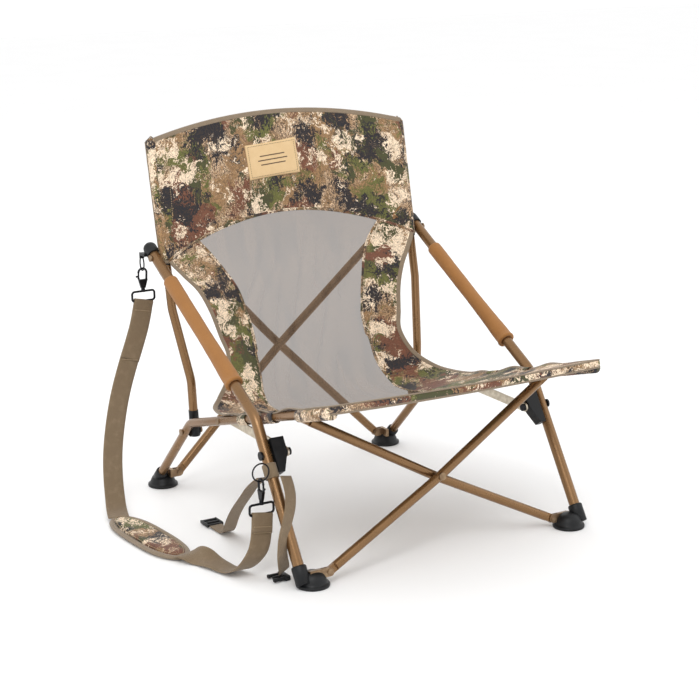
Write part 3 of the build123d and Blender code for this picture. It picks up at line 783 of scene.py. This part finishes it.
def make_bindings():
    """Binding round the top, down both sides, round the waist and along the seat."""
    count = 150
    across = [2 * k / count - 1 for k in range(count + 1)]
    edge_trim("binding_top", [(u, EDGE_LENGTH) for u in across], soft_back, inset=0.003)
    for side, name in SIDES:
        for part, low, high, group in (("back_", FOLD_S, s_at_height(SLEEVE_LOW), soft_back),
                                       ("seat_", 0.0, FOLD_S, soft_seat)):
            edge_trim("binding_" + part + name,
                      [(side, lerp(low, high, k / count)) for k in range(count + 1)], group,
                      inset=-side * 0.003)
        line, normals = on_cloth([(side * 0.915, lerp(s_at_height(0.52), EDGE_LENGTH, k / 60))
                                  for k in range(61)])
        soft_back.append(stitch_row("sleeve_stitches_" + name, line, 0.0042, "tan_thread",
                                    0.00045, normals, 0.0006))
    edge_trim("binding_front_upper", [(u, 0.0) for u in across], soft_seat, width=0.006)
    drop = Vector((0, -0.001, -HEM_DROP))
    lower = band("binding_front_lower", [sling(u, 0.0) + drop for u in across], 0.006,
                 BINDING_THICK, "binding", normals=[Vector((0, -1, 0.1))] * len(across))
    soft_seat.append(lower)

    def hem_point(t, c):
        return sling(2 * c - 1, 0.0) + drop * t - Vector((0, 0.003 * math.sin(math.pi * t), 0))

    hem = grid("seat_front_hem", 6, count, hem_point, "camo",
               lambda t, c: ((2 * c - 1) * 0.263, -HEM_DROP * t, 0.0))
    thicken(hem, 0.0012)
    soft_seat.append(hem)


def make_seams():
    """Stitched seams where the mesh panel meets the camouflage."""
    yoke = [(k / 60 * 2 - 1, yoke_at(k / 60 * 2 - 1)) for k in range(61)]
    parts = [(yoke, "yoke_seam", soft_back)]
    for side, name in SIDES:
        back = [side_us(k / 60, 0.0, side) for k in range(61)]
        seat = [side_us(k / 30, 0.0, side, SEAT_S, FOLD_S) for k in range(31)]
        parts += [(back, "panel_seam_" + name, soft_back), (seat, "seat_seam_" + name, soft_seat)]
    for places, name, group in parts:
        line, normals = on_cloth(places)
        fold = band(name, [a + n * 0.0008 for a, n in zip(line, normals)], 0.0052, 0.0016, "camo",
                    normals=normals)
        sewn = stitch_row(name + "_stitches", line, 0.0038, "dark_thread", 0.0004, normals, 0.0018)
        group.extend((fold, sewn))


def back_point(x, z):
    """Cloth point of the back at x across and height z, with its normal."""
    s = s_at_height(z)
    for _ in range(12):
        u = x / edge_at(s).x
        s += (z - sling(u, s).z) * 0.9
        s = min(max(s, WAIST_S), EDGE_LENGTH)
    return sling(u, s), sling_normal(u, s)


def make_label():
    """Plain sewn patch on the yoke, with a stitched border and three plain woven bars."""
    centre, tilt = (-0.0205, 0.611), math.radians(4.2)
    width, height, hem = 0.107, 0.065, 0.0045

    def on_patch(a, b, lift):
        x = centre[0] + a * math.cos(tilt) - b * math.sin(tilt)
        z = centre[1] + a * math.sin(tilt) + b * math.cos(tilt)
        point, normal = back_point(x, z)
        return point + normal * lift, normal

    def patch(t, c):
        bow = 0.0012 * math.sin(3.1 * c + 0.4) * (2 * t - 1)
        rim = min(t, 1 - t, 1.6 * c, 1.6 * (1 - c))
        lift = 0.0008 + 0.0011 * smooth_step(rim, 0.0, 0.07)
        return on_patch((c - 0.5) * width, (0.5 - t) * height + bow, lift)[0]

    label = grid("label_patch", 24, 36, patch, "label",
                 lambda t, c: ((c - 0.5) * width, (0.5 - t) * height, 0.0))
    thicken(label, 0.0011)
    x, z = width / 2 - hem, height / 2 - hem
    corners = ((-x, -z), (x, -z), (x, z), (-x, z), (-x, -z))
    loop = [Vector(a).lerp(Vector(b), n / 24) for a, b in zip(corners, corners[1:])
            for n in range(24)]
    line, normals = zip(*(on_patch(a, b, 0.0024) for a, b in loop + loop[:1]))
    border = stitch_row("label_border", line, 0.0034, "dark_thread", 0.00045, normals)
    rows = []
    for z, reach in ((0.008, 0.026), (0.0, 0.031), (-0.008, 0.026)):
        line, normals = zip(*(on_patch(lerp(-reach, reach, k / 24), z, 0.0022) for k in range(25)))
        rows.append(band("label_bar", line, 0.0026, 0.001, "dark_thread", normals=normals))
    soft_back.extend((label, border, join("label_bars", rows)))


def post_axis(z, side):
    """Centre of the back post's upper run at height z."""
    y = POST_BEND[0] + (z - POST_BEND[1]) * POST_LEAN.y / POST_LEAN.z
    return Vector((side * POST_X, y, z))


def make_sleeve(side, name):
    """Cloth pocket round a back post, shut at its top, with a bound hem and cuff."""
    radius = 0.0103

    def sleeve(t, c):
        closing = smooth_step(t, 0.965, 1.0)
        z = lerp(SLEEVE_LOW, SLEEVE_HIGH, t)
        angle = math.radians(lerp(-88, 178, c))
        fat = radius * (1 - 0.97 * closing) * (1 + 0.03 * noise.noise(Vector((c * 4, z * 60, side))))
        snug = lerp(0.93, 1.0, smooth_step(z, 0.472, 0.484))
        out = Vector((side * math.sin(angle) * snug, -math.cos(angle) * 1.02, 0)) * fat
        return post_axis(z, side) + out + Vector((0, 0, 0.0015 * closing))

    cloth_sleeve = grid("post_sleeve_" + name, 60, 30, sleeve, "camo",
                        lambda t, c: (side * (0.25 + c * 0.045), 0.80 + t * 0.155, 0.0))
    thicken(cloth_sleeve, 0.0009)
    facing = Vector((side * 0.88, 0.47, 0))
    hem = [sleeve(k / 50 * 0.96, 0.775) + facing * 0.0006 for k in range(51)]
    trim = band("sleeve_binding_" + name, hem, 0.0085, 0.0022, "binding",
                normals=[facing] * len(hem))
    cuff = [sleeve(0.0, k / 40) for k in range(41)]
    rim = band("sleeve_cuff_" + name, cuff, 0.006, 0.002, "binding", across=POST_LEAN)
    for obj in (cloth_sleeve, trim, rim):
        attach(obj, name + "_post")


RAIL_LOOPS = ((-0.036, -0.064, 0.3), (-0.112, -0.162, 0.5), (-0.241, -0.347, 1.0))


def make_rail_loops(side, name):
    """Cloth loops round a seat rail, each with its start, end and slack; the last one closes
    over the rail's tip."""
    up = Vector((0, -1, RAIL_RISE)).normalized().cross(X_AXIS)
    for k, (start, end, slack) in enumerate(RAIL_LOOPS):
        at_tip = k == len(RAIL_LOOPS) - 1

        def loop(t, c):
            y = lerp(start, end, t)
            angle = 2 * math.pi * c
            below = max(0.0, -math.cos(angle))
            fold = noise.noise(Vector((t * 150 * (end - start), c * 3, k + side * 0.5)))
            fat = 0.0094 + 0.0022 * slack * below + 0.0006 * fold * (1 if below > 0.1 else 0.3)
            closed = 1.0 - (0.96 * smooth_step(t, 0.985, 1.0) if at_tip else 0.0)
            centre = Vector((side * RAIL_X, y, RAIL_BEND[1] - (y - RAIL_BEND[0]) * RAIL_RISE))
            return centre + around(up, X_AXIS, angle) * (fat * closed)

        wrap = grid(f"rail_loop_{k + 1}_{name}", 40 if at_tip else 16, 36, loop, "camo",
                    lambda t, c: (side * 0.263 + (c - 0.5) * 0.06, 0.30 - lerp(start, end, t), 0.0))
        thicken(wrap, 0.0009)
        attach(wrap, name + "_rail")


def finish_sling():
    """Every soft piece of the back and seat is attached to the body of its half, the left post or the
    left rail, and given a mesh of its own.
    """
    for group, body, anchor in ((soft_back, "left_post", BACK_ANCHOR),
                                (soft_seat, "left_rail", SEAT_ANCHOR)):
        for obj in group:
            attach(obj, body)
            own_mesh(obj)
            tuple(anchor)


# ---- grips and feet ----
def make_grips():
    """Foam sleeves, wider towards a rolled lip at the lower end, with a faint waist."""
    low, high, radius, bore = 0.084, 0.363, 0.01325, 0.0096
    length = high - low
    lip = radius + 0.0030
    profile = [(0.0012, bore + 0.0002), (0.0, bore + 0.0014), (0.0004, lip - 0.0016),
               (0.0016, lip - 0.0004), (0.0032, lip), (0.0050, lip - 0.0004),
               (0.0062, lip - 0.0012)]
    for k in range(1, 24):
        t = k / 24
        uneven = 0.00012 * math.sin(23 * t) + 0.0001 * math.sin(61 * t + 1)
        flare = 0.0019 * (1 - smooth_step(t, 0.0, 0.42))
        waist = 0.0004 * math.sin(math.pi * t)
        profile.append((0.005 + (length - 0.010) * t, radius + flare - waist + uneven))
    upper_end = ((0.005, radius), (0.002, radius - 0.0004), (0.0004, bore + 0.0024),
                 (0.0, bore + 0.0012), (0.0012, bore + 0.0002))
    profile += [(length - depth, r) for depth, r in upper_end]
    for side, name in SIDES:
        bend = Vector((side * ARM_X, *ARM_BEND))
        obj = lathe("grip_" + name, bend + ARM_RISE * low, bend + ARM_RISE * high, profile, "grip", 48)
        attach(obj, name + "_arm")
        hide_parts("arm_grip_" + name)


def make_feet():
    """Moulded feet: a lipped bell on the floor and a socket up the leg."""
    bell = [(0.0, 0.0262), (0.0006, 0.0278), (0.0022, 0.0282), (0.0046, 0.0281), (0.0056, 0.0272),
            (0.0062, 0.0252), (0.0085, 0.0238), (0.0130, 0.0222), (0.0180, 0.0196),
            (0.0220, 0.0160), (0.0245, 0.0110), (0.0255, 0.0050)]
    places = (
        ("front", 0.2595, -0.278, ARM_X, ARM_FOOT, ARM_BEND, 0.0095, "_arm"),
        ("rear", 0.2495, 0.3199, RAIL_X, RAIL_FOOT, RAIL_BEND, 0.008, "_rail"),
    )
    socket_top = 0.034
    for end, x, y, tube_x, low, high, tube_radius, body in places:
        for side, name in SIDES:
            base = lathe(f"foot_bell_{end}_{name}", (side * x, y, 0), (side * x, y, 1), bell,
                         "plastic", 56)
            start = Vector((side * tube_x, *low))
            run = (Vector((side * tube_x, *high)) - start).normalized()
            reach = (socket_top - start.z) / run.z
            outer = tube_radius + 0.0032
            socket = lathe(
                f"foot_socket_{end}_{name}", start - run * 0.004, start + run,
                [(0.0, outer * 0.7), (0.001, outer), (reach + 0.002, outer),
                 (reach + 0.0032, outer - 0.0006), (reach + 0.004, outer - 0.0016),
                 (reach + 0.004, tube_radius + 0.0002)], "plastic")
            obj = join(f"foot_{end}_{name}", [base, socket])
            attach(obj, name + body)
            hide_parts(f"{end}_foot_{name}")


# ---- carry strap ----
STRAP_WIDTH = 0.038
TAIL_WIDTH = 0.025
WEB = 0.0017
UPPER_ROUTE = [
    (-0.2940, 0.277, 0.3705), (-0.3005, 0.277, 0.338), (-0.314, 0.276, 0.300),
    (-0.333, 0.273, 0.255), (-0.351, 0.270, 0.205), (-0.365, 0.264, 0.155),
    (-0.376, 0.256, 0.105), (-0.3825, 0.244, 0.060), (-0.389, 0.222, 0.022),
    (-0.397, 0.197, 0.0085), (-0.404, 0.173, 0.008),
]
LOWER_ROUTE = [
    (-0.390, -0.055, 0.008), (-0.373, -0.087, 0.0175), (-0.357, -0.122, 0.0075),
    (-0.347, -0.155, 0.003), (-0.341, -0.184, 0.012), (-0.328, -0.202, 0.034),
    (-0.313, -0.206, 0.062), (-0.307, -0.1965, 0.1035),
]
TAIL_ONE = [
    (-0.2935, -0.176, 0.161), (-0.2995, -0.156, 0.146), (-0.298, -0.120, 0.112),
    (-0.293, -0.082, 0.082), (-0.284, -0.042, 0.048), (-0.274, -0.008, 0.015),
    (-0.2695, 0.014, 0.0030), (-0.270, 0.034, 0.0030), (-0.2705, 0.054, 0.0045),
]
TAIL_TWO = [
    (-0.264, -0.201, 0.166), (-0.2645, -0.216, 0.150), (-0.272, -0.232, 0.128),
    (-0.284, -0.243, 0.106), (-0.297, -0.250, 0.084), (-0.300, -0.250, 0.058),
    (-0.294, -0.241, 0.036), (-0.287, -0.232, 0.021), (-0.2845, -0.2265, 0.013),
]


def sewn_end(name, line, width, reach):
    """The strap's end turned round its loop's bar and sewn down, with rows of stitches."""
    start = line[0]
    tangent = (line[2] - line[0]).normalized()
    across = (X_AXIS - tangent * X_AXIS.dot(tangent)).normalized()
    up = across.cross(tangent).normalized()
    if up.y > 0:
        up = -up
    turn = []
    for k in range(13):
        a = math.pi * k / 12
        turn.append(start - tangent * 0.0012 - up * math.cos(a) * 0.0031
                    - tangent * math.sin(a) * 0.0042)
    walked, back = 0.0, []
    for a, b in zip(line, line[1:]):
        walked += (b - a).length
        if walked > reach:
            break
        back.append(b + up * 0.0021)
    fold = band(name, turn + back, width - 0.0004, WEB, "webbing", across=across)
    rows = []
    half = width / 2 - 0.003
    for at in (back[min(2, len(back) - 1)], back[-1]):
        row = [at + across * lerp(-half, half, k / 10) + up * 0.0011 for k in range(11)]
        rows.append(stitch_row(name + "_row", row, 0.0030, "tan_thread", 0.0005, [up] * len(row)))
    return [fold, join(name + "_stitches", rows)]


def make_strap(name, route, width, node, sewn=0.0,
               across=X_AXIS, twist=None):
    """A free strap; sewn is how far its end is sewn back, below zero for the far end, and
    twist gives its roll in radians at a distance along it."""
    line = spline_line(route)
    if twist:
        rolls = [twist(line_length(line[:k + 1])) for k in range(len(line))]
        across = [around(X_AXIS, Z_AXIS, roll) for roll in rolls]
    strap = band(name, line, width, WEB, "webbing", across=across)
    extras = []
    if sewn:
        extras = sewn_end(name + "_end", line if sewn > 0 else line[::-1], width, abs(sewn))
    for obj in [strap] + extras:
        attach(obj, "left_arm")
    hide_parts(node)
    tuple(line[0])
    round(line_length(line), 3)


def fold_after_pad(walked):
    """How far the strap rolls up on its edge as it leaves the pad, in radians."""
    return math.radians(36) * math.exp(-((walked - 0.040) / 0.022) ** 2)


def make_pad():
    """Padded shoulder piece on the floor: crowned camouflage body, bound rim, sewn round."""
    start, end = Vector(UPPER_ROUTE[-1]), Vector(LOWER_ROUTE[0])
    run = end - start
    run.z = 0
    half_length = (run.length + 0.012) / 2
    along = run.normalized()
    across = Vector((along.y, -along.x, 0))
    middle = (start + end) * 0.5
    middle.z = 0.0

    def half_width(t):
        """Leaf outline: t from -1 to 1 along the pad."""
        return 0.0305 * (1 - abs(t) ** 3.2) ** 0.62 + 0.0012

    def place(a, b, z):
        return middle + along * a + across * b + Vector((0, 0, z))

    def outline(reach, inset, z):
        """Closed line round the pad, on its centre line at both ends."""
        line = []
        for k in range(121):
            angle = 2 * math.pi * k / 120
            t = math.cos(angle) * reach
            b = math.copysign(half_width(t) - inset, math.sin(angle)) if k % 60 else 0.0
            line.append(place(t * half_length, b, z))
        return line

    rings, sides = 44, 26
    verts, flats = [], []
    for i in range(rings + 1):
        t = -1 + 2 * i / rings
        half = half_width(t)
        crown = 0.0046 * min(1.0, half / 0.018)
        for k in range(sides):
            angle = 2 * math.pi * k / sides
            a, b = t * half_length, math.cos(angle) * half
            z = 0.0058 + math.copysign(abs(math.sin(angle)) ** 0.8, math.sin(angle)) * crown
            verts.append(place(a, b, z))
            flats.append((a, b, 0.0))
    faces = [face[:1] + face[:0:-1] for face in tube_faces(rings + 1, sides)]    # turned outwards
    pad = piece("pad_body", verts, faces, "camo_pad", flats)
    puff(pad, 0.0045, middle, along, across)
    binding = band("pad_binding", outline(0.995, 0.0, 0.0050), 0.0120, 0.0072, "binding",
                   normals=[Z_AXIS] * 121)
    stitches = stitch_row("pad_stitches", outline(0.955, 0.0062, 0.0100), 0.0036, "tan_thread")
    for obj in (pad, binding, stitches):
        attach(obj, "left_arm")
    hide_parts("shoulder_pad")


def puff(obj, cap, middle, along, across):
    """Swells a stuffed piece with a short cloth simulation, each point by no more than cap."""
    remesh = obj.modifiers.new("remesh", "REMESH")
    remesh.mode = "VOXEL"
    remesh.voxel_size = 0.004
    apply_modifiers(obj)
    before = [v.co.copy() for v in obj.data.vertices]
    soft = obj.modifiers.new("soft", "CLOTH")
    soft.settings.use_pressure = True
    soft.settings.uniform_pressure_force = 4.0
    soft.settings.effector_weights.gravity = 0.0
    soft.settings.quality = 5
    soft.point_cache.frame_start = 1
    soft.point_cache.frame_end = 20
    for step in range(1, 21):
        bpy.context.scene.frame_set(step)
    apply_modifiers(obj)
    bpy.context.scene.frame_set(1)
    lowest, highest = 0.0006, 0.0118
    places = []
    for vertex, rest in zip(obj.data.vertices, before):
        move = vertex.co - rest
        if move.length > cap:
            move = move.normalized() * cap
        point = rest + move
        vertex.co = (point.x, point.y, min(max(point.z, lowest), highest))
        away = vertex.co - middle
        places += [away.dot(along), away.dot(across), 0.0]
    flat = obj.data.attributes.get("flat") or obj.data.attributes.new("flat", "FLOAT_VECTOR", "POINT")
    flat.data.foreach_set("vector", places)
    smooth = obj.modifiers.new("smooth", "SUBSURF")
    smooth.levels = 1
    smooth.render_levels = 1
    apply_modifiers(obj)
    for polygon in obj.data.polygons:
        polygon.use_smooth = True
    obj.data.materials.clear()
    obj.data.materials.append(PAINTS["camo_pad"])


def make_buckles():
    """Ladder lock and side-release plug, moulded with rounded edges."""
    low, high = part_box("ladder_lock")
    centre = (low + high) / 2
    size = high - low
    rail = 0.0035
    boxes = [((rail, size.y, size.z), (sign * (size.x - rail) / 2, 0, 0)) for sign in (-1, 1)]
    boxes += [((size.x - 0.002, deep, size.z * 0.8), (0, y, 0))
              for y, deep in ((-0.013, 0.0042), (0.0, 0.0048), (0.0125, 0.0052))]
    lock = join("ladder_lock_frame", [rounded_box("bar", box, centre + Vector(shift), "plastic", 0.0012)
                                      for box, shift in boxes])

    low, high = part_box("side_release_plug")
    body_x = high.x - 0.005
    middle_y, z = (low.y + high.y) / 2, 0.005
    boxes = [((0.010, 0.029, 0.008), body_x, 0.0, 0.0016)]
    boxes += [((length, 0.005, 0.0055), body_x - 0.004 - length / 2, y, 0.0013)
              for y, length in ((-0.0105, 0.021), (0.0, 0.0175), (0.0105, 0.021))]
    boxes += [((0.006, 0.0066, 0.006), low.x + 0.0045, y, 0.0018) for y in (-0.01064, 0.01064)]
    plug = join("side_release_prongs", [rounded_box("plug", box, (x, middle_y + y, z), "plastic", radius)
                                        for box, x, y, radius in boxes])
    for obj, node in ((lock, "ladder_lock"), (plug, "side_release_plug")):
        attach(obj, "left_arm")
        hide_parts(node)
    return lock, plug


def make_leg_band():
    """The closing strap's turn round the left leg, below the bracket."""
    low, high = Vector((-ARM_X, *ARM_FOOT)), Vector((-ARM_X, *ARM_BEND))
    axis = (high - low).normalized()
    centre = low + axis * ((0.171 - low.z) / axis.z)
    other = axis.cross(X_AXIS)
    ring = []
    for k in range(49):
        angle = 2 * math.pi * k / 48
        radius = 0.0107 + 0.0012 * max(0.0, math.cos(angle - 2.6)) ** 4
        ring.append(centre + around(X_AXIS, other, angle) * radius)
    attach(band("leg_band", ring, TAIL_WIDTH, WEB, "webbing", across=axis), "left_arm")


# ---- floor and light ----
def add_stage():
    """Plain pale floor, white surroundings and three soft lamps."""
    scene = bpy.context.scene
    world = bpy.data.worlds.new("world")
    scene.world = world
    world.use_nodes = True
    background = world.node_tree.nodes["Background"]
    background.inputs["Color"].default_value = (1.0, 1.0, 1.0, 1.0)
    background.inputs["Strength"].default_value = 1.06
    scene.view_settings.view_transform = "Standard"
    mesh = bpy.data.meshes.new("floor")
    reach = 12.0
    mesh.from_pydata([(-reach, -reach, 0), (reach, -reach, 0), (reach, reach, 0),
                      (-reach, reach, 0)], [], [(0, 1, 2, 3)])
    floor = add_object("floor", mesh)
    paint = Paint("floor", Roughness=0.9)
    cloud = paint.noise(paint.place(), 3.0)
    paint.colour(paint.mix(cloud, (0.92, 0.92, 0.92, 1), (0.95, 0.95, 0.95, 1)))
    mesh.materials.append(paint.material)
    lamps = (
        ("key", (-1.6, -1.9, 3.0), 36.0, 1.6),
        ("fill", (2.6, -1.6, 2.2), 8.0, 2.4),
        ("rim", (0.6, 2.6, 2.6), 14.0, 2.0),
    )
    for name, place, power, size in lamps:
        light = bpy.data.lights.new(name, "AREA")
        light.energy = power
        light.size = size
        lamp = add_object(name, light)
        lamp.location = place
        aim = Vector((0, 0, 0.3)) - Vector(place)
        lamp.rotation_euler = aim.to_track_quat("-Z", "Y").to_euler()


# ---- the whole scene ----
add_camera()
paint_frame()
make_pad()
lock, plug = make_buckles()
make_strap("carry_strap_upper", UPPER_ROUTE, STRAP_WIDTH, "strap_webbing_upper",
           sewn=0.108)
make_strap("carry_strap_lower", LOWER_ROUTE, STRAP_WIDTH, "strap_webbing_lower",
           sewn=-0.030, twist=fold_after_pad)
make_strap("closing_strap_one", TAIL_ONE, TAIL_WIDTH, "closing_tail_one")
make_strap("closing_strap_two", TAIL_TWO, TAIL_WIDTH, "closing_tail_two",
           across=Vector((0.92, 0.39, 0)))
make_leg_band()
make_sling()
make_bindings()
make_seams()
make_label()
for side, name in SIDES:
    make_sleeve(side, name)
    make_rail_loops(side, name)
finish_sling()
make_grips()
make_feet()
add_stage()
